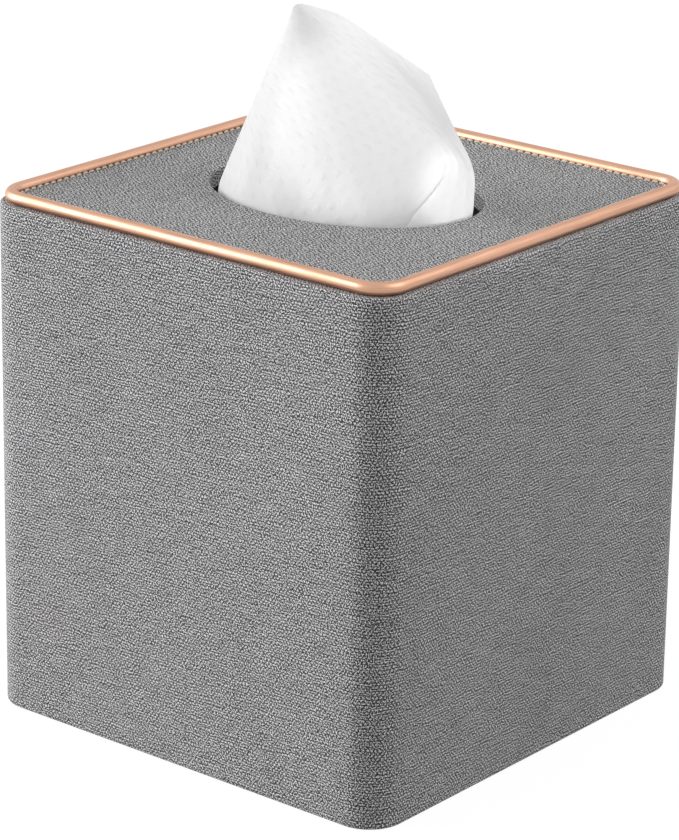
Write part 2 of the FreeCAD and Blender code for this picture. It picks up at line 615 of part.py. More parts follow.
def centre_of(corners):
    return sum(corners, Vector()) * (1 / len(corners))


def drawn_in(corners, shrink):
    """A section moved in towards its middle."""
    middle = centre_of(corners)
    return [corner + (middle - corner).normalize() * shrink for corner in corners]


def flat_face(corners):
    return Part.Face(Part.makePolygon(corners + corners[:1]))


def folded_solid(sections):
    """Loft through straight-sided sections, folded flat along one diagonal of each stretch of its sides."""
    faces = [flat_face(sections[0]), flat_face(sections[-1])]
    for lower, upper in zip(sections, sections[1:]):
        for index, near in enumerate(lower):
            after = (index + 1) % len(lower)
            faces.append(flat_face([near, lower[after], upper[after]]))
            faces.append(flat_face([near, upper[after], upper[index]]))
    solid = Part.makeSolid(Part.makeShell(faces))
    if solid.Volume < 0:
        solid.reverse()
    return solid


def make_tissue_sheet():
    """Sheet drawn up through the mouth: a tent of flat folds, open below, its top sloping to a shoulder."""
    tail, mouth, waist, top = tissue_sections()
    level = number(f"{PANEL_TOP} + {TISSUE_HOLLOW} * {cell('tissue_rise')}")
    hollow_top = [low + (high - low) * ((level - low.z) / (high.z - low.z)) for low, high in zip(waist, top)]
    ply = number(cell("tissue_ply"))
    outside = folded_solid([tail, mouth, waist, top])
    hollow = folded_solid([drawn_in(corners, ply) for corners in (tail, mouth, waist, hollow_top)])
    piece = doc.addObject("Part::Feature", "tissue_sheet_tent")
    piece.Shape = outside.cut(hollow)
    piece.Placement = Placement()
    finish(piece, "tissue_sheet")


make_tissue_stack()
make_tissue_sheet()

doc.recompute()
for item in doc.Objects:
    if "Invalid" in item.State or "Error" in item.State:
        raise RuntimeError(f"{item.Label} did not recompute: {item.State}")
for piece in finished:
    if piece.Shape.isNull() or not piece.Shape.isValid():
        raise RuntimeError(f"{piece.Label} has no valid shape")

os.makedirs("parts", exist_ok=True)
for piece in finished:
    piece.Shape.exportStep(f"parts/{piece.Label}.step")
    print(f"{piece.Label}: {len(piece.Shape.Solids)} solid, {piece.Shape.Volume / 1000:.2f} cm3")
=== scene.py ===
"""Looks of the square tissue box cover: grey linen-look leatherette, rose-gold piping and a drawn tissue.

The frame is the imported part's own, in metres with +Z up. Shapes are worked out in millimetres and laid
in metres.
"""

import json

import bmesh
import bpy
import numpy as np
from mathutils import Matrix, Vector

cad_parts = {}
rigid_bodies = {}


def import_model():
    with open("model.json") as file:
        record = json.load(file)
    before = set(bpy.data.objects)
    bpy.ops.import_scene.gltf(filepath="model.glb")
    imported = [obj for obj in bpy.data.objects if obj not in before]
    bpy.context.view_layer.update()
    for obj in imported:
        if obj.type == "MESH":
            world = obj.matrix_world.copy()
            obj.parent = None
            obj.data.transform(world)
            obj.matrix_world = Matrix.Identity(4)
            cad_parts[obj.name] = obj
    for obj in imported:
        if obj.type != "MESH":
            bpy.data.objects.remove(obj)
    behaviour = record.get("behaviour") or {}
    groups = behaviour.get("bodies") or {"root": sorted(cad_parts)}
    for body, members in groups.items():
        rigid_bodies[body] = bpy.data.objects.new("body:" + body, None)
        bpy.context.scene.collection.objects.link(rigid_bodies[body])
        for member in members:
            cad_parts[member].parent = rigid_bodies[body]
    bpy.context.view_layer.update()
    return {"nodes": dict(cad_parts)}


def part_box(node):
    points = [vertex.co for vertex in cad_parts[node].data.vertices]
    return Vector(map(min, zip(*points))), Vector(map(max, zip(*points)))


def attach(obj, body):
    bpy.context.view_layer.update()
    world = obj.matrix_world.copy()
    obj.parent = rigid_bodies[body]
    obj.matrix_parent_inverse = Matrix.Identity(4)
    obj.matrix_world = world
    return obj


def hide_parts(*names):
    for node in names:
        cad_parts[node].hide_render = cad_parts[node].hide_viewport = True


for leftover in list(bpy.data.objects):
    bpy.data.objects.remove(leftover)
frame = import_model()
MM = 0.001

# Levels and reaches of the cover, in millimetres. A reach is measured out from the cover's middle.
CORE = 55.0
WALL_REACH = 65.0
WALL_TOP = 136.55
WALL_ROUNDING = (0.9, 0.9, 0.6)
WALL_SPACING = 6.0
HEM_REACH = 62.05
FOOT_IN = 60.3
FOOT_HEM = 13.0
SKIN = 0.8
SEAM = 0.3
PANEL_TOP = 138.1
PANEL_EDGE = 60.25
PANEL_FLAT = 0.4
PANEL_ROWS = 15
PANEL_EDGE_TURN = [(-0.13, 138.0), (0.0, 137.75), (0.0, 137.35), (-0.4, 137.3)]
MOUTH = (38.3, 28.8)
MOUTH_LIP = 2.0
MOUTH_ROUNDING = (0.7, 0.7)
MOUTH_SPACING = 0.8
MOUTH_STEPS = 513
TURN_IN = 6.0
TURN_IN_Z = 133.4
GLUED_SIDE = [(MOUTH_LIP, 137.3), (0.6, 137.2), (0.6, 134.2), (TURN_IN, 134.2), (TURN_IN, TURN_IN_Z)]
BEAD_REACH = 62.0
BEAD_Z = 138.3
BEAD_RADIUS = 1.7
BEAD_SWEEP = (-103.9, 218.1)
BEAD_STEPS = 44
FLANGE = [(57.05, 137.25), (57.05, 136.65)]
STITCH_REACH = 59.62
STITCH_PITCH = 2.4
STITCH_HALF_SHARE = 0.43
STITCH_RADIUS = 0.32
STITCH_RISE = 0.16
STITCH_DIP = 0.34
STITCH_LEAN_DEGREES = 5.0
STITCH_STEPS = 9
REFILL_LAYERS = 48
REFILL_CORNER = 6.0
REFILL_NOTCH = 0.2
REFILL_FOLD_NOTCH = 0.5
REFILL_SWELL = 0.9
REFILL_CROWN = 0.5
REFILL_CROWN_STEPS = [0.2, 0.35, 0.45, 0.5]

# Corners of a grid's face, in steps down its rows and along its columns.
FACE_STEPS = [(0, 0), (1, 0), (1, 1), (0, 1)]


def cells(*counts):
    """Place of every cell of a grid along each of its axes."""
    return [index.ravel() for index in np.meshgrid(*map(np.arange, counts), indexing="ij")]


def lay_grid(name, points, chart, turned=False):
    """Mesh over a grid of points in millimetres, four corners a face, with the chart as its UV map in metres.

    Rows or columns that meet lie twice in the grid and are welded. turned faces the mesh the other way.
    """
    rows, columns = points.shape[:2]
    i, j = cells(rows - 1, columns - 1)
    steps = FACE_STEPS[::-1] if turned else FACE_STEPS
    corners = np.stack([(i + down) * columns + j + right for down, right in steps], 1)
    spots = np.stack([chart[i + down, j + right] for down, right in steps], 1)
    return lay_faces(name, points.reshape(-1, 3), corners, spots)


def lay_faces(name, points, corners, spots):
    """Mesh from points, four corners a face and each corner's chart place, welded where points meet."""
    mesh = bpy.data.meshes.new(name)
    mesh.from_pydata((points * MM).tolist(), [], corners.tolist())
    mesh.uv_layers.new(name="chart").data.foreach_set("uv", (spots * MM).ravel())
    shell = bmesh.new()
    shell.from_mesh(mesh)
    bmesh.ops.remove_doubles(shell, verts=shell.verts, dist=1e-6)
    shell.to_mesh(mesh)
    shell.free()
    mesh.polygons.foreach_set("use_smooth", np.ones(len(mesh.polygons), bool))
    piece = bpy.data.objects.new(name, mesh)
    bpy.context.collection.objects.link(piece)
    return piece


def dress(piece, finish, body, slot, *nodes):
    """Gives a piece its finish, the body it rides on and the CAD nodes it stands for, which it hides. The
    slot is not used.
    """
    piece.data.materials.append(finish)
    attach(piece, body)
    if nodes:
        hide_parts(*nodes)


def lengths(line):
    """Distance along a line of points, from its first point to each."""
    return np.concatenate([[0.0], np.cumsum(np.linalg.norm(np.diff(line, axis=0), axis=-1))])


def round_line(stops, radii, steps=8):
    """Line through the stops, with each inner stop rounded.

    A rounding is a parabola from one radius before the stop to one radius after it.
    """
    stops = np.array(stops, float)
    t = np.linspace(0, 1, steps)[:, None]
    line = [stops[:1]]
    for before, stop, after, radius in zip(stops, stops[1:], stops[2:], radii):
        near = stop + (before - stop) / np.linalg.norm(before - stop) * radius
        far = stop + (after - stop) / np.linalg.norm(after - stop) * radius
        line.append((1 - t) ** 2 * near + 2 * t * (1 - t) * stop + t ** 2 * far)
    return np.concatenate(line + [stops[-1:]])


def fill(line, spacing):
    """The line with points added so that none are further apart than the spacing."""
    run = lengths(line)
    at = np.union1d(run, np.arange(0, run[-1], spacing))
    return np.stack([np.interp(at, run, line[:, axis]) for axis in range(line.shape[1])], -1)


def walk_round(core, straight, corner, gap=0.0):
    """Points round a square of half side core, from the middle of its back, each with its way out's angle.

    The points stay still at a corner while the way out turns through 90 degrees, so that a line at any
    reach is a square with rounded corners.
    """
    stops = core * np.array([(0, 1), (-1, 1), (-1, -1), (1, -1), (1, 1), (0, 1)], float)
    stops[0, 0] -= gap / 2
    stops[-1, 0] += gap / 2
    share = np.linspace(0, 1, straight)[:, None]
    turn = np.linspace(0, 90, corner)[1:-1]
    points, angles = [], []
    for side, (start, stop) in enumerate(zip(stops, stops[1:]), 1):
        points += [start + (stop - start) * share, np.repeat(stop[None], corner - 2, 0)]
        angles += [np.full(straight, 90.0 * side), 90.0 * side + turn]
    return np.concatenate(points[:-1]), np.radians(np.concatenate(angles[:-1]))


def carry(outline, walk, core):
    """Outline of (reach, height) pairs carried along a walk.

    Each point is the walk's point plus the reach less the core along the way out.
    """
    points, angles = walk
    way_out = np.stack([np.cos(angles), np.sin(angles)], -1)
    plan = points[:, None] + way_out[:, None] * (outline[:, 0] - core)[None, :, None]
    level = np.broadcast_to(outline[:, 1], plan.shape[:2])
    return np.concatenate([plan, level[..., None]], -1)


def swept(name, outline, across, walk, reach, ends=True):
    """Closed outline carried round the cover. Ends are drawn together on its middle line, or else they meet.

    The chart runs along the walk at the given reach and across the outline.
    """
    grid = carry(outline, walk, CORE)
    along = lengths(carry(np.array([(reach, 0.0)]), walk, CORE)[:, 0])
    if ends:
        closed = (grid + grid[:, ::-1]) / 2
        grid = np.concatenate([closed[:1], grid, closed[-1:]])
        along = np.concatenate([along[:1], along, along[-1:]])
    grid = np.concatenate([grid, grid[:, :1]], 1)
    chart = np.stack(np.broadcast_arrays(along[:, None], across[None]), -1)
    return lay_grid(name, grid, chart)


def wall_skin():
    """Leatherette of the walls: up from a hem inside the foot, round it, up the wall and over its top."""
    stops = [(FOOT_IN, FOOT_HEM), (FOOT_IN, 0.0), (WALL_REACH, 0.0), (WALL_REACH, WALL_TOP),
             (HEM_REACH, WALL_TOP)]
    line = fill(round_line(stops, WALL_ROUNDING), WALL_SPACING)
    run = np.gradient(line, axis=0)
    inwards = np.stack([-run[:, 1], run[:, 0]], -1) / np.linalg.norm(run, axis=1)[:, None]
    outline = np.concatenate([line, (line + inwards * SKIN)[::-1]])
    across = np.concatenate([lengths(line), lengths(line)[::-1], [0.0]])
    walk = walk_round(CORE, straight=24, corner=16, gap=SEAM)
    return swept("wall_leatherette", outline, across, walk, WALL_REACH)


def piping():
    """Round bead with a flat sewing flange towards the middle, carried all the way round the cover."""
    angle = np.radians(np.linspace(*BEAD_SWEEP, BEAD_STEPS))
    bead = np.stack([BEAD_REACH + BEAD_RADIUS * np.cos(angle), BEAD_Z + BEAD_RADIUS * np.sin(angle)], -1)
    outline = np.concatenate([bead, FLANGE])
    across = lengths(np.concatenate([outline, outline[:1]]))
    walk = walk_round(CORE, straight=30, corner=16)
    return swept("rose_gold_piping", outline, across, walk, BEAD_REACH, ends=False)


def square_edge(angle, half):
    """Where rays at the angles meet a square of the half side whose corners turn about CORE."""
    way = np.stack([np.cos(angle), np.sin(angle)], -1)
    flat = half / np.abs(way).max(-1)
    towards = (way * np.sign(way)).sum(-1) * CORE
    rounded = towards + np.sqrt(np.clip(towards ** 2 - 2 * CORE ** 2 + (half - CORE) ** 2, 0, None))
    at_corner = (np.abs(way * flat[..., None]) > CORE).all(-1)
    return way * np.where(at_corner, rounded, flat)[..., None]


def top_skin():
    """Leatherette of the top: turned in under the mouth, up its wall, over its rim and out to the piping.

    Near the mouth a row is the oval moved along its own normal. On the panel it passes by shares to the
    square edge.
    """
    t = np.linspace(0, 2 * np.pi, MOUTH_STEPS)
    oval = np.stack([MOUTH[0] * np.cos(t), MOUTH[1] * np.sin(t)], -1)
    normal = np.stack([MOUTH[1] * np.cos(t), MOUTH[0] * np.sin(t)], -1)
    normal /= np.linalg.norm(normal, axis=1)[:, None]
    stops = [(TURN_IN, TURN_IN_Z), (0.0, TURN_IN_Z), (0.0, PANEL_TOP), (MOUTH_LIP, PANEL_TOP)]
    sleeve = fill(round_line(stops, MOUTH_ROUNDING), MOUTH_SPACING)
    rows = [(offset, 0.0, PANEL_EDGE, level) for offset, level in sleeve]
    shares = np.linspace(0, 1, PANEL_ROWS)[1:]
    rows += [(MOUTH_LIP, share, PANEL_EDGE - PANEL_FLAT, PANEL_TOP) for share in shares]
    rows += [(MOUTH_LIP, 1.0, PANEL_EDGE + turn, level) for turn, level in PANEL_EDGE_TURN]
    rows += [(offset, 0.0, PANEL_EDGE, level) for offset, level in GLUED_SIDE]
    offset, share, half, level = np.array(rows).T
    near = oval[:, None] + normal[:, None] * offset[:, None]
    far = square_edge(np.arctan2(oval[:, 1], oval[:, 0])[:, None], half)
    plan = near * (1 - share)[:, None] + far * share[:, None]
    grid = np.concatenate([plan, np.broadcast_to(level, plan.shape[:2])[..., None]], -1)
    run = lengths(sleeve)
    chart = plan.copy()
    chart[:, :len(run)] = oval[:, None] + normal[:, None] * (MOUTH_LIP + run - run[-1])[:, None]
    return lay_grid("top_leatherette", grid, chart[..., ::-1], turned=True)


def stitches():
    """Row of stitches along the piping's inner foot: short rounded rods that dip into the leatherette."""
    points, angles = walk_round(CORE, straight=60, corner=24)
    line = carry(np.array([(STITCH_REACH, 0.0)]), (points, angles), CORE)[:, 0, :2]
    run = lengths(line)
    count = int(round(run[-1] / STITCH_PITCH))
    middle = (np.arange(count) + 0.5) * run[-1] / count
    centre = np.stack([np.interp(middle, run, line[:, axis]) for axis in range(2)], -1)
    heading = np.interp(middle, run, angles) + np.pi / 2 + np.radians(STITCH_LEAN_DEGREES)
    forward = np.stack([np.cos(heading), np.sin(heading)], -1)[:, None, None]
    sideways = np.stack([-np.sin(heading), np.cos(heading)], -1)[:, None, None]
    share = np.linspace(-1, 1, STITCH_STEPS)[None, :, None, None]
    around = np.linspace(0, 2 * np.pi, STITCH_STEPS)[None, None, :, None]
    girth = STITCH_RADIUS * (1 - share ** 4) ** 0.5
    along = forward * share * STITCH_PITCH * STITCH_HALF_SHARE
    plan = centre[:, None, None] + along + sideways * girth * np.cos(around)
    level = PANEL_TOP + STITCH_RISE - STITCH_DIP * share ** 4 + girth * np.sin(around)
    grid = np.concatenate([plan, np.broadcast_to(level, plan.shape[:3] + (1,))], -1)
    rods, rings, sides = grid.shape[:3]
    rod, i, j = cells(rods, rings - 1, sides - 1)
    corners = np.stack([(rod * rings + i + down) * sides + j + right for down, right in FACE_STEPS], 1)
    spots = np.stack([np.stack([(i + down) * 0.25, (j + right) * 0.25], -1) for down, right in FACE_STEPS], 1)
    return lay_faces("piping_stitches", grid.reshape(-1, 3), corners, spots)


def refill():
    """Refill of folded tissues: a square block, notched all round between its folds and swollen at them."""
    low, high = [np.array(corner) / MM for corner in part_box("tissue_stack")]
    half, core = high[0], high[0] - REFILL_CORNER
    points, angles = walk_round(core, straight=22, corner=8)
    way_out = np.stack([np.cos(angles), np.sin(angles)], -1)
    folded = np.abs(way_out[:, 1]) ** 2
    step = np.arange(REFILL_LAYERS * 4 + 1)
    level = low[2] + (high[2] - REFILL_CROWN - low[2]) * step / step[-1]
    notch = (1 - np.abs(np.sin(np.pi * step / 4))) ** 2
    swell = (2 * step / step[-1] - 1) ** 2
    depth = REFILL_NOTCH + REFILL_FOLD_NOTCH * folded
    reach = half - depth[:, None] * notch - REFILL_SWELL * folded[:, None] * swell
    sides = points[:, None] + way_out[:, None] * (reach - core)[..., None]
    share = np.array([0.0, 0.4, 0.8, 0.97])
    under = sides[:, :1] * share[None, :, None]
    over = sides[:, -1:] * share[None, ::-1, None]
    plan = np.concatenate([under, sides, over], 1)
    crown = high[2] - REFILL_CROWN + np.array(REFILL_CROWN_STEPS)
    levels = np.concatenate([np.full(len(share), low[2]), level, crown])
    grid = np.concatenate([plan, np.broadcast_to(levels, plan.shape[:2])[..., None]], -1)
    along = lengths(sides[:, len(step) // 2])
    chart = np.stack(np.broadcast_arrays(along[:, None], levels[None]), -1)
    chart[:, :len(share)], chart[:, -len(share):] = under, over
    return lay_grid("tissue_refill", grid, chart)


# The drawn tissue, in millimetres above the panel, on axes along and across its ridge.
RIDGE_ALONG = np.array([0.777, 0.630])
RIDGE_ACROSS = np.array([0.630, -0.777])
TISSUE_REACH = np.array([37.4, 27.9])
TISSUE_DEPTH = 72.7
TISSUE_TAIL = 0.92
TISSUE_MIDDLE = np.array([2.0, 8.0, 0.0])
TISSUE_PLEATS = 15
PLEAT_DEPTH = 0.68
PLEAT_RUN = 0.6
PLEAT_SWAY = 1.3
UPPER_ROWS, LOWER_ROWS, FOLD_COLUMNS = 64, 64, 20
RIDGE_FOLD = 6
# Averaging of the sheet: its step and passes, then how firmly and how widely a sharp fold and the rim hold.
AVERAGING = 0.25
FOLD_PASSES, DRAPE_PASSES = 40, 16
FOLD_HOLD, FOLD_WIDTH, RIM_HOLD = 1.3, 0.35, 0.7


def at_rim(degrees, share=1.0):
    """Point of the mouth's oval at an angle, on the ridge's axes."""
    spot = TISSUE_REACH * (np.cos(np.radians(degrees)), np.sin(np.radians(degrees))) * share
    return (spot @ RIDGE_ALONG, spot @ RIDGE_ACROSS, 0.0)


# Each fold: how soft it is, then its points from the top edge down to the mouth.
TISSUE_FOLDS = [
    (1.0, [(-14.5, 6.0, 47.2), at_rim(-134)]),
    (1.0, [(-14.2, 6.3, 48.3), at_rim(-112, 0.99)]),
    (1.0, [(-13.8, 6.5, 49.0), at_rim(-90, 0.985)]),
    (1.0, [(-13.2, 6.6, 49.5), at_rim(-68, 0.98)]),
    (1.0, [(-12.6, 6.6, 49.8), at_rim(-48, 0.98)]),
    (0.15, [(-12.2, 6.4, 49.8), (7.0, 12.6, 30.8), (25.5, 19.8, 13.6), at_rim(-20, 0.93)]),
    (0.04, [(-11.8, 6.2, 49.8), (7.6, 12.4, 30.8), (28.0, 20.0, 13.0), at_rim(-34, 1.0)]),
    (0.3, [(-9.0, 5.0, 48.9), (-2.2, 7.6, 41.8), (12.0, 9.8, 29.8), (29.0, 19.4, 12.9), at_rim(-12, 1.0)]),
    (0.5, [(-1.9, 1.5, 46.1), (15.5, 4.5, 30.2), (30.2, 17.0, 11.8), at_rim(2, 1.0)]),
    (0.1, [(20.9, -6.0, 28.9), (27.5, 2.0, 17.2), (31.6, 10.0, 11.2), (32.6, 14.0, 8.0), at_rim(12, 1.0)]),
    (0.8, [(19.6, -7.4, 29.0), (21.7, 4.0, 12.0), (25.0, 13.1, 0.0)]),
    (1.0, [(9.0, -5.8, 34.0), (9.3, 0.6, 13.0), (10.5, 6.0, 0.0)]),
    (1.0, [(-1.8, -2.2, 39.5), (-3.6, -0.9, 13.0), (-4.0, 1.0, 0.0)]),
    (0.8, [(-12.4, 3.0, 45.0), (-16.2, -0.2, 12.0), (-18.5, -2.1, 0.0)]),
]


def even_points(stops, count):
    """Points evenly spaced along a line through the stops."""
    stops = np.array(stops, float)
    run = lengths(stops)
    at = np.linspace(0, run[-1], count)
    return np.stack([np.interp(at, run, stops[:, axis]) for axis in range(3)], -1)


def smooth_step(share):
    """Rise from 0 to 1 that starts and ends level."""
    share = np.clip(share, 0, 1)
    return share * share * (3 - 2 * share)


def drawn_tissue():
    """Sheet drawn up through the mouth: straight lines between neighbouring folds, then averaged across it.

    A soft fold is averaged fully and a sharp one hardly. Below the mouth each line is drawn in towards the
    tail, with pleats as a cosine round the sheet that deepens with the drop.
    """
    upper = np.array([even_points(stops, UPPER_ROWS + 1) for _, stops in TISSUE_FOLDS])
    softness = np.array([soft for soft, _ in TISSUE_FOLDS])
    count = len(TISSUE_FOLDS)
    place = np.linspace(0, count - 1, (count - 1) * FOLD_COLUMNS + 1)
    before = np.clip(place.astype(int), 0, count - 2)
    share = (place - before)[:, None, None]
    sheet = upper[before] * (1 - share) + upper[before + 1] * share
    nearest = np.abs(place[:, None] - np.arange(count)).argmin(1)
    sharp = (1 - softness[nearest]) * np.clip(FOLD_HOLD - np.abs(place - nearest) / FOLD_WIDTH, 0, 1)
    rim_give = 1 - RIM_HOLD * np.linspace(0, 1, UPPER_ROWS + 1) ** 3
    give = AVERAGING * (1 - sharp)[1:-1, None, None] * rim_give[None, :, None]
    for _ in range(FOLD_PASSES):
        sheet[1:-1] += give * (sheet[:-2] - 2 * sheet[1:-1] + sheet[2:])
    rim = sheet[:, -1]
    drop = np.linspace(0, 1, LOWER_ROWS + 1)[1:]
    turn = 2 * np.pi * lengths(rim) / lengths(rim)[-1]
    wave = 0.5 - 0.5 * np.cos(TISSUE_PLEATS * turn + PLEAT_SWAY * np.sin(3 * turn))
    pleats = 1 - PLEAT_DEPTH * wave[:, None] * smooth_step(drop / PLEAT_RUN)
    drawn = (1 - (1 - TISSUE_TAIL) * smooth_step(drop)) * pleats
    lower = TISSUE_MIDDLE + (rim - TISSUE_MIDDLE)[:, None] * drawn[..., None]
    lower[..., 2] = -TISSUE_DEPTH * drop
    sheet = np.concatenate([sheet, lower], 1)
    for _ in range(DRAPE_PASSES):
        sheet[:, 1:-1] += AVERAGING * (sheet[:, :-2] - 2 * sheet[:, 1:-1] + sheet[:, 2:])
    plan = sheet[..., :1] * RIDGE_ALONG + sheet[..., 1:2] * RIDGE_ACROSS
    grid = np.concatenate([plan, sheet[..., 2:] + PANEL_TOP], -1)
    across = np.cumsum(np.linalg.norm(np.diff(grid, axis=0, prepend=grid[:1]), axis=-1), 0)
    across -= across[RIDGE_FOLD * FOLD_COLUMNS]
    down = np.cumsum(np.linalg.norm(np.diff(grid, axis=1, prepend=grid[:, :1]), axis=-1), 1)
    return lay_grid("drawn_tissue", grid, np.stack([across, down], -1))


def node(tree, kind, inputs=None, **settings):
    """Adds a shader node. An input is a plain value, or a socket that is linked to it."""
    made = tree.nodes.new(kind)
    for name, value in settings.items():
        setattr(made, name, value)
    for key, value in (inputs or {}).items():
        if isinstance(value, bpy.types.NodeSocket):
            tree.links.new(value, made.inputs[key])
        else:
            made.inputs[key].default_value = value
    return made


def calc(tree, operation, *values):
    """Result of a math node on values or sockets."""
    return node(tree, "ShaderNodeMath", dict(enumerate(values)), operation=operation).outputs[0]


def stretch(tree, place, factors, shift=(0.0, 0.0, 0.0)):
    """A place multiplied and then moved, axis by axis."""
    values = {0: place, 1: factors, 2: shift}
    return node(tree, "ShaderNodeVectorMath", values, operation="MULTIPLY_ADD").outputs[0]


def shrink(tree, place, size):
    """A place in units of a size."""
    values = {0: place, 3: calc(tree, "DIVIDE", 1.0, size)}
    return node(tree, "ShaderNodeVectorMath", values, operation="SCALE").outputs[0]


def noise(tree, place, detail=1.0, flat=True):
    """Smooth noise at a place, about one swell for each unit."""
    values = {"Vector": place, "Scale": 1.0, "Detail": detail}
    return node(tree, "ShaderNodeTexNoise", values, noise_dimensions="2D" if flat else "3D").outputs[0]


def span(tree, value, low, high, to_low=0.0, to_high=1.0):
    """A value between low and high as a value between to_low and to_high."""
    return node(tree, "ShaderNodeMapRange", {0: value, 1: low, 2: high, 3: to_low, 4: to_high}).outputs[0]


def mix(tree, share, first, second):
    """Colour between two colours."""
    return node(tree, "ShaderNodeMix", {0: share, 6: first, 7: second}, data_type="RGBA").outputs[2]


def new_group(name, inputs, outputs):
    """Node group with named sockets. Gives the group, its inputs and its output node."""
    group = bpy.data.node_groups.new(name, "ShaderNodeTree")
    for title, kind in inputs.items():
        group.interface.new_socket(title, in_out="INPUT", socket_type=kind)
    for title in outputs:
        group.interface.new_socket(title, in_out="OUTPUT", socket_type="NodeSocketFloat")
    return group, group.nodes.new("NodeGroupInput").outputs, group.nodes.new("NodeGroupOutput")


def use(tree, group, inputs):
    """Outputs of a node group that is fed with the inputs."""
    return node(tree, "ShaderNodeGroup", inputs, node_tree=group).outputs


def linen_group():
    """Yarns of a plain weave: a product of two sines, and level rows, that wander with noise.

    Streaks along and across the weave and a fine speckle are added to them.
    """
    numbers = ("Base", "Weave", "Rows", "Lengthwise", "Crosswise", "Speckle")
    inputs = {"Place": "NodeSocketVector", **{title: "NodeSocketFloat" for title in numbers}}
    tree, given, result = new_group("linen_yarns", inputs, ("Shade",))
    unit = stretch(tree, given["Place"], (1 / WARP_PITCH, 1 / WEFT_PITCH, 1.0))
    axes = node(tree, "ShaderNodeSeparateXYZ", {0: unit}).outputs[:2]
    wander = [noise(tree, stretch(tree, unit, (0.3, 0.15, 1.0), (0.0, 53.0, 0.0))),
              noise(tree, stretch(tree, unit, (0.08, 0.3, 1.0), (29.0, 0.0, 0.0)))]
    turns = [calc(tree, "MULTIPLY", calc(tree, "MULTIPLY_ADD", sway, YARN_SWAY, axis), np.pi)
             for axis, sway in zip(axes, wander)]
    streaks = {
        "Lengthwise": ((0.06, 1.3, 1.0), (0.0, 0.0, 0.0)),
        "Crosswise": ((1.2, 0.12, 1.0), (37.0, 11.0, 0.0)),
        "Speckle": ((1.75, 2.3, 1.0), (91.0, 23.0, 0.0)),
    }
    parts = {}
    for title, how in streaks.items():
        parts[title] = calc(tree, "SUBTRACT", noise(tree, stretch(tree, unit, *how)), 0.5)
    parts["Weave"] = calc(tree, "MULTIPLY", *[calc(tree, "SINE", turn) for turn in turns])
    parts["Rows"] = calc(tree, "COSINE", calc(tree, "MULTIPLY_ADD", turns[1], 2.0, np.pi))
    shade = given["Base"]
    for title, value in parts.items():
        shade = calc(tree, "MULTIPLY_ADD", value, given[title], shade)
    tree.links.new(node(tree, "ShaderNodeClamp", {0: shade}).outputs[0], result.inputs["Shade"])
    return tree


def emboss_group():
    """Rows of small round press marks, every second row moved by half a step, as a soft-edged mask."""
    inputs = {"Place": "NodeSocketVector", "Step": "NodeSocketFloat"}
    tree, given, result = new_group("press_marks", inputs, ("Mark",))
    unit = shrink(tree, given["Place"], given["Step"])
    x, y = node(tree, "ShaderNodeSeparateXYZ", {0: unit}).outputs[:2]
    moved = calc(tree, "MULTIPLY_ADD", calc(tree, "FLOORED_MODULO", calc(tree, "FLOOR", y), 2.0), 0.5, x)
    across = calc(tree, "SUBTRACT", calc(tree, "FRACT", moved), 0.5)
    up = calc(tree, "SUBTRACT", calc(tree, "FRACT", y), 0.5)
    far = calc(tree, "SQRT", calc(tree, "MULTIPLY_ADD", across, across, calc(tree, "MULTIPLY", up, up)))
    tree.links.new(span(tree, far, 0.34, 0.14), result.inputs["Mark"])
    return tree


def fibre_group():
    """Fibres in the round: noise drawn out along one axis, with finer grain on it."""
    inputs = {"Place": "NodeSocketVector", "Size": "NodeSocketFloat"}
    tree, given, result = new_group("short_fibres", inputs, ("Shade",))
    unit = shrink(tree, given["Place"], given["Size"])
    coarse = noise(tree, stretch(tree, unit, (0.3, 0.3, 0.3)), detail=3.0, flat=False)
    fine = noise(tree, stretch(tree, unit, (1.0, 1.0, 0.5), (9.0, 4.0, 2.0)), detail=2.0, flat=False)
    shade = calc(tree, "MULTIPLY_ADD", coarse, 0.5, calc(tree, "MULTIPLY", fine, 0.5))
    tree.links.new(span(tree, shade, 0.3, 0.7), result.inputs["Shade"])
    return tree


# Spacing of the yarns in metres, and how far they wander in spacings.
WARP_PITCH, WEFT_PITCH = 0.000535, 0.00077
YARN_SWAY = 1.36
# How strongly each part of the weave shows.
YARNS = {
    "Base": 0.37, "Weave": 0.48, "Rows": 0.36,
    "Lengthwise": 0.45, "Crosswise": 0.2, "Speckle": 5.4,
}
# Depth of the fine relief and spacing of the tissue's press marks, in metres.
FINE_RELIEF = 0.00008
PRESS_STEP = 0.0038
# Colours of the finishes. In a pair the dark one comes first.
DARK_YARN = (0.016, 0.016, 0.016, 1.0)
WALL_LIGHT = (0.932, 0.932, 0.948, 1.0)
# The top is the walls' leatherette. Its light yarns are darkened as painted shade, since the top takes more
# light from above.
TOP_LIGHT_WITH_PAINTED_SHADE = (0.740, 0.740, 0.745, 1.0)
FOIL_COLOURS = ((0.55, 0.307, 0.203, 1.0), (0.66, 0.395, 0.275, 1.0))
THREAD_COLOURS = ((0.62, 0.50, 0.38, 1.0), (0.86, 0.77, 0.64, 1.0))
PAPER_COLOURS = ((0.90, 0.90, 0.91, 1.0), (0.97, 0.97, 0.975, 1.0))
PAPER_GLOW = (0.95, 0.95, 0.955, 1.0)
PLATING_COLOURS = ((0.55, 0.54, 0.52, 1.0), (0.70, 0.69, 0.67, 1.0))
RIBBON_COLOURS = ((0.10, 0.10, 0.105, 1.0), (0.24, 0.24, 0.25, 1.0))
BOARD_COLOURS = ((0.22, 0.19, 0.155, 1.0), (0.38, 0.34, 0.29, 1.0))
CLOTH_COLOURS = ((0.11, 0.11, 0.115, 1.0), (0.22, 0.22, 0.225, 1.0))

LINEN, EMBOSS, FIBRES = linen_group(), emboss_group(), fibre_group()


def new_finish(name, plain):
    """Material whose plain values are set on its shader. Gives the material, its tree and its shader."""
    finish = bpy.data.materials.new(name)
    finish.use_nodes = True
    shader = finish.node_tree.nodes["Principled BSDF"]
    for title, value in plain.items():
        shader.inputs[title].default_value = value
    return finish, finish.node_tree, shader


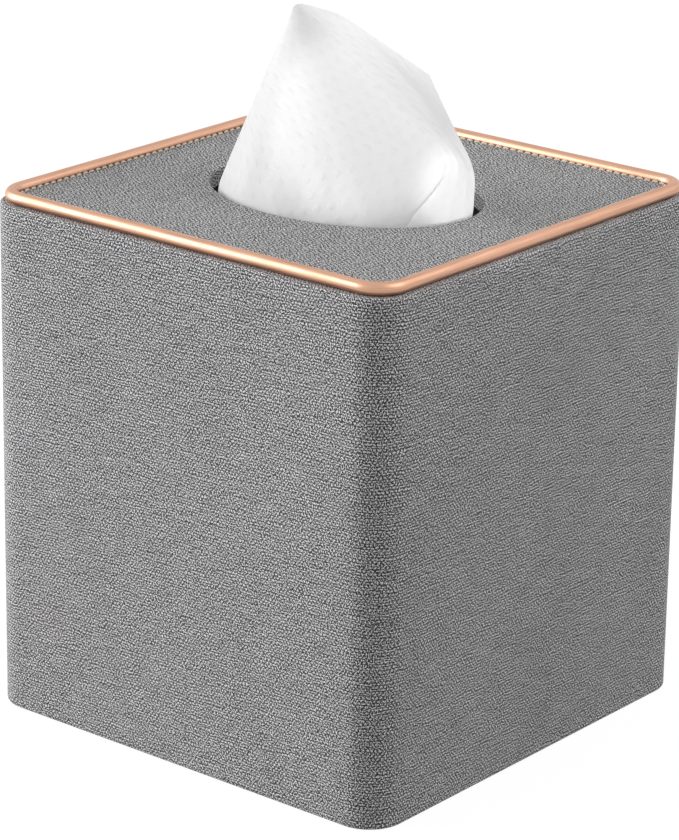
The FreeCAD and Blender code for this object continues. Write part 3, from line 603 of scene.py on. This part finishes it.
def grain(tree, shader, height, strength, distance):
    """Fine relief of a finish, in metres."""
    bump = node(tree, "ShaderNodeBump", {"Strength": strength, "Distance": distance, "Height": height})
    tree.links.new(bump.outputs[0], shader.inputs["Normal"])


def leatherette(name, read, light, coarse=1.0):
    """Printed and grained leatherette that looks like grey linen, from dark yarns to light ones.

    The shade is raised to the power of 2.2. Read in the round, the weave's two axes both move on with
    height, so that no upright face shows it drawn out.
    """
    finish, tree, shader = new_finish(name, {"Specular IOR Level": 0.35})
    place = node(tree, "ShaderNodeTexCoord").outputs[read]
    if read == "Object":
        x, y, z = node(tree, "ShaderNodeSeparateXYZ", {0: place}).outputs
        axes = {0: calc(tree, "ADD", x, z), 1: calc(tree, "ADD", y, z)}
        place = node(tree, "ShaderNodeCombineXYZ", axes).outputs[0]
    shade = use(tree, LINEN, {"Place": stretch(tree, place, (1 / coarse, 1 / coarse, 1.0)), **YARNS})["Shade"]
    patch = noise(tree, stretch(tree, place, (30.0, 18.0, 1.0)), detail=2.0)
    cloud = span(tree, patch, 0.3, 0.7, -0.02, 0.02)
    tone = calc(tree, "POWER", calc(tree, "MAXIMUM", calc(tree, "ADD", shade, cloud), 0.0), 2.2)
    tree.links.new(mix(tree, tone, DARK_YARN, light), shader.inputs["Base Color"])
    tree.links.new(span(tree, shade, 0.0, 1.0, 0.74, 0.58), shader.inputs["Roughness"])
    grain(tree, shader, shade, 0.12, FINE_RELIEF)
    return finish


def foil():
    """Rose-gold foil of the piping, with faint lengthwise streaks and a fine grain."""
    finish, tree, shader = new_finish("rose_gold_foil", {"Metallic": 1.0})
    place = node(tree, "ShaderNodeTexCoord").outputs["UV"]
    streak = noise(tree, stretch(tree, place, (60.0, 2400.0, 1.0)), detail=2.0)
    patch = noise(tree, stretch(tree, place, (90.0, 300.0, 1.0)), detail=2.0)
    colour = mix(tree, span(tree, streak, 0.3, 0.7), *FOIL_COLOURS)
    tree.links.new(colour, shader.inputs["Base Color"])
    tree.links.new(span(tree, patch, 0.3, 0.7, 0.38, 0.50), shader.inputs["Roughness"])
    pores = noise(tree, stretch(tree, place, (1500.0, 2600.0, 1.0)), detail=2.0)
    grain(tree, shader, pores, 0.25, FINE_RELIEF)
    return finish


def thread():
    """Pale twisted thread of the stitches."""
    finish, tree, shader = new_finish("pale_thread", {"Roughness": 0.55, "Specular IOR Level": 0.3})
    place = node(tree, "ShaderNodeTexCoord").outputs["UV"]
    x, y = node(tree, "ShaderNodeSeparateXYZ", {0: place}).outputs[:2]
    twist = calc(tree, "SINE", calc(tree, "MULTIPLY", calc(tree, "ADD", x, y), 12000.0))
    colour = mix(tree, span(tree, twist, -1.0, 1.0), *THREAD_COLOURS)
    tree.links.new(colour, shader.inputs["Base Color"])
    grain(tree, shader, twist, 0.4, FINE_RELIEF)
    return finish


def paper(name, strength, see_through):
    """Soft white tissue paper with faint press marks, which are also painted a little darker as shade of
    their relief. Some of the light passes through a single sheet.
    """
    finish, tree, shader = new_finish(name, {"Roughness": 0.9, "Specular IOR Level": 0.1})
    place = node(tree, "ShaderNodeTexCoord").outputs["UV"]
    mark = use(tree, EMBOSS, {"Place": place, "Step": PRESS_STEP})["Mark"]
    crepe = noise(tree, stretch(tree, place, (900.0, 2600.0, 1.0)), detail=2.0)
    crumple = noise(tree, stretch(tree, place, (55.0, 22.0, 1.0)), detail=2.0)
    # The press marks lower the colour a little: painted shade of their relief, over the crepe's random tone.
    shade = calc(tree, "MULTIPLY_ADD", mark, -0.35, crepe)
    colour = mix(tree, shade, *PAPER_COLOURS)
    tree.links.new(colour, shader.inputs["Base Color"])
    pressed = calc(tree, "MULTIPLY", calc(tree, "MULTIPLY", mark, crumple), -0.32)
    small = calc(tree, "MULTIPLY_ADD", crepe, 0.10, pressed)
    grain(tree, shader, calc(tree, "MULTIPLY_ADD", crumple, 2.0, small), strength, 0.0006)
    if see_through:
        relief = shader.inputs["Normal"].links[0].from_socket
        values = {"Color": PAPER_GLOW, "Normal": relief}
        through = node(tree, "ShaderNodeBsdfTranslucent", values).outputs[0]
        both = node(tree, "ShaderNodeMixShader", {0: see_through, 1: shader.outputs[0], 2: through})
        tree.links.new(both.outputs[0], tree.nodes["Material Output"].inputs["Surface"])
    return finish


def fibrous(name, size, dark, light, roughness, depth):
    """Board or cloth of short fibres, read in the round."""
    finish, tree, shader = new_finish(name, {"Specular IOR Level": 0.25})
    place = node(tree, "ShaderNodeTexCoord").outputs["Object"]
    shade = use(tree, FIBRES, {"Place": place, "Size": size})["Shade"]
    tree.links.new(mix(tree, shade, dark, light), shader.inputs["Base Color"])
    rough = span(tree, shade, 0.0, 1.0, roughness + 0.06, roughness - 0.06)
    tree.links.new(rough, shader.inputs["Roughness"])
    grain(tree, shader, shade, 0.5, depth)
    return finish


def nickel():
    """Plated magnets with rubbed faces."""
    finish, tree, shader = new_finish("plated_magnet", {"Metallic": 1.0})
    place = node(tree, "ShaderNodeTexCoord").outputs["Object"]
    shade = use(tree, FIBRES, {"Place": place, "Size": 0.0008})["Shade"]
    colour = mix(tree, shade, *PLATING_COLOURS)
    tree.links.new(colour, shader.inputs["Base Color"])
    tree.links.new(span(tree, shade, 0.0, 1.0, 0.2, 0.4), shader.inputs["Roughness"])
    return finish


def ribbon():
    """Ribbed grosgrain ribbon of the pull tab."""
    finish, tree, shader = new_finish("grosgrain_ribbon", {"Specular IOR Level": 0.4})
    place = node(tree, "ShaderNodeTexCoord").outputs["Object"]
    y = node(tree, "ShaderNodeSeparateXYZ", {0: place}).outputs[1]
    rib = span(tree, calc(tree, "SINE", calc(tree, "MULTIPLY", y, 9000.0)), -1.0, 1.0)
    shade = use(tree, FIBRES, {"Place": place, "Size": 0.0006})["Shade"]
    share = calc(tree, "MULTIPLY_ADD", rib, 0.6, calc(tree, "MULTIPLY", shade, 0.4))
    colour = mix(tree, share, *RIBBON_COLOURS)
    tree.links.new(colour, shader.inputs["Base Color"])
    tree.links.new(span(tree, rib, 0.0, 1.0, 0.62, 0.45), shader.inputs["Roughness"])
    grain(tree, shader, rib, 0.6, 0.00015)
    return finish


walls = leatherette("linen_leatherette", "UV", WALL_LIGHT)
# Copy of the wall leatherette for the top, darker by painted shade.
tops_painted_shade = leatherette("linen_leatherette_top_painted_shade", "UV", TOP_LIGHT_WITH_PAINTED_SHADE, 1.15)
underside = leatherette("linen_leatherette_underside", "Object", WALL_LIGHT)
board = fibrous("grey_fibreboard", 0.0012, *BOARD_COLOURS, 0.85, 0.0002)
cloth = fibrous("lining_cloth", 0.0006, *CLOTH_COLOURS, 0.9, 0.00015)

NODE_FINISHES = {
    "front_board": board, "right_board": board, "back_board": board, "left_board": board,
    "front_right_post": board, "back_right_post": board, "back_left_post": board, "front_left_post": board,
    "top_board": board, "front_rail": board, "left_rail": board, "right_rail": board, "flap_board": board,
    "wall_lining": cloth, "top_lining": cloth, "flap_lining": cloth,
    "flap_skin": underside, "hinge_strip": underside, "pull_tab": ribbon(),
}
NODE_FINISHES.update(dict.fromkeys(("flap_magnets", "rail_magnets"), nickel()))
for title, finish in NODE_FINISHES.items():
    for place in frame["nodes"][title].material_slots:
        place.material = finish

dress(wall_skin(), walls, "cover", "leatherette", "wall_skin")
panel = top_skin()
dress(panel, tops_painted_shade, "cover", "leatherette", "top_skin")
dress(piping(), foil(), "cover", "rose_gold_strip", "piping")
dress(stitches(), thread(), "cover", "rose_gold_strip")
stack = refill()
dress(stack, paper("refill_paper", 0.4, 0.0), "cover", "tissue_paper", "tissue_stack")
tissue = drawn_tissue()
dress(tissue, paper("tissue_paper", 0.9, 0.4), "tissue", "tissue_paper", "tissue_sheet")


# Soft lamps, in metres and watts: where each hangs, its power and its size.
SOFT_LAMPS = {
    "left_lamp": ((-1.45, -1.00, 0.60), 34.0, 1.2),
    "right_lamp": ((0.62, 0.25, 0.70), 3.1, 0.6),
}
SOFT_TARGET = (0.0, 0.0, 0.08)
# Narrow beams: where each hangs, its target, its power, its width in degrees and the share of it that fades.
BEAMS = {
    "tissue_lamp": ((0.572, -1.494, 0.352), (0.012, -0.006, 0.160), 44.0, 2.0, 0.6),
    "pleat_lamp": ((1.2861, -0.9834, 0.3120), (0.0381, 0.0006, 0.1440), 60.0, 0.575, 0.6),
}
BEAM_RADIUS = 0.003
# Strength of the white surroundings on matt faces.
AMBIENT = 0.50
FLOOR_HALF, FLOOR_HOLE = 6.0, 0.0625
FLOOR_GREY = (0.15, 0.15, 0.15, 1.0)
FLOOR_LIFT = 0.90
# The camera's turn, rise and tilt in degrees, its distance from a target, its lens and its shifts.
CAMERA_ANGLES = (39.043, 19.637, 0.904)
CAMERA_TARGET = (0.0, 0.0, 0.070)
CAMERA_DISTANCE = 1.002255
CAMERA_LENS, CAMERA_SENSOR = 164.8, 36.0
CAMERA_SHIFT = (-0.00277, 0.02619)


def studio_floor():
    """Pale floor that shows white to the camera and in metal, less the object's shadow, and clear from below.

    It has a square hole under the cover, so that light reaches the underside and the flap has room to swing.
    """
    mesh = bpy.data.meshes.new("studio_floor")
    square = [(-1, -1), (1, -1), (1, 1), (-1, 1)]
    spots = [(x * reach, y * reach, 0.0) for reach in (FLOOR_HALF, FLOOR_HOLE) for x, y in square]
    mesh.from_pydata(spots, [], [(i, (i + 1) % 4, 4 + (i + 1) % 4, 4 + i) for i in range(4)])
    floor = bpy.data.objects.new("studio_floor", mesh)
    bpy.context.collection.objects.link(floor)
    finish = bpy.data.materials.new("pale_floor")
    finish.use_nodes = True
    tree = finish.node_tree
    tree.nodes.remove(tree.nodes["Principled BSDF"])
    matt = node(tree, "ShaderNodeBsdfDiffuse", {"Color": FLOOR_GREY})
    strength = calc(tree, "MULTIPLY", seen_directly(tree), FLOOR_LIFT)
    lift = node(tree, "ShaderNodeEmission", {"Strength": strength})
    both = node(tree, "ShaderNodeAddShader", {0: matt.outputs[0], 1: lift.outputs[0]})
    under = node(tree, "ShaderNodeNewGeometry").outputs["Backfacing"]
    clear = node(tree, "ShaderNodeBsdfTransparent")
    shown = node(tree, "ShaderNodeMixShader", {0: under, 1: both.outputs[0], 2: clear.outputs[0]})
    tree.links.new(shown.outputs[0], tree.nodes["Material Output"].inputs["Surface"])
    mesh.materials.append(finish)


def seen_directly(tree):
    """1 for what the camera, metal or glass sees, and 0 for light that bounces off matt faces."""
    path = node(tree, "ShaderNodeLightPath").outputs
    return calc(tree, "MAXIMUM", path["Is Camera Ray"],
                calc(tree, "MAXIMUM", path["Is Glossy Ray"], path["Is Transmission Ray"]))


def hang(title, lamp, spot, target):
    """Puts a lamp at a spot, turned towards a target."""
    holder = bpy.data.objects.new(title, lamp)
    facing = (Vector(target) - Vector(spot)).to_track_quat("-Z", "Y")
    holder.matrix_world = Matrix.LocRotScale(Vector(spot), facing, None)
    bpy.context.collection.objects.link(holder)


def studio_light():
    """White surroundings, a large soft lamp on the left, a weaker one on the right and two narrow beams.

    The beams light the drawn tissue and its side pleat.
    """
    world = bpy.data.worlds.new("studio")
    bpy.context.scene.world = world
    world.use_nodes = True
    tree = world.node_tree
    strength = calc(tree, "MULTIPLY_ADD", seen_directly(tree), 1.0 - AMBIENT, AMBIENT)
    ground = tree.nodes["Background"]
    ground.inputs["Color"].default_value = (1.0, 1.0, 1.0, 1.0)
    tree.links.new(strength, ground.inputs["Strength"])
    for title, (spot, power, size) in SOFT_LAMPS.items():
        lamp = bpy.data.lights.new(title, "AREA")
        lamp.size = size
        lamp.energy = power
        hang(title, lamp, spot, SOFT_TARGET)
    for title, (spot, target, power, width, blend) in BEAMS.items():
        lamp = bpy.data.lights.new(title, "SPOT")
        lamp.energy = power
        lamp.spot_size = np.radians(width)
        lamp.spot_blend = blend
        lamp.shadow_soft_size = BEAM_RADIUS
        hang(title, lamp, spot, target)


def camera():
    """Camera at the photograph's angle, turned about its own axis by the photograph's small tilt."""
    turn, rise, tilt = np.radians(CAMERA_ANGLES)
    away = np.array([np.sin(turn) * np.cos(rise), -np.cos(turn) * np.cos(rise), np.sin(rise)])
    right = np.array([np.cos(turn), np.sin(turn), 0.0])
    up = np.cross(right, -away)
    across = np.cos(tilt) * right + np.sin(tilt) * up
    upright = -np.sin(tilt) * right + np.cos(tilt) * up
    spot = np.array(CAMERA_TARGET) + CAMERA_DISTANCE * away
    lens = bpy.data.cameras.new("camera")
    lens.sensor_width = CAMERA_SENSOR
    lens.lens = CAMERA_LENS
    lens.shift_x, lens.shift_y = CAMERA_SHIFT
    holder = bpy.data.objects.new("camera", lens)
    rows = [(*row, place) for row, place in zip(zip(across, upright, away), spot)]
    holder.matrix_world = Matrix(rows + [(0, 0, 0, 1)])
    bpy.context.collection.objects.link(holder)
    bpy.context.scene.camera = holder


studio_floor()
studio_light()
camera()
bpy.context.scene.view_settings.view_transform = "Standard"
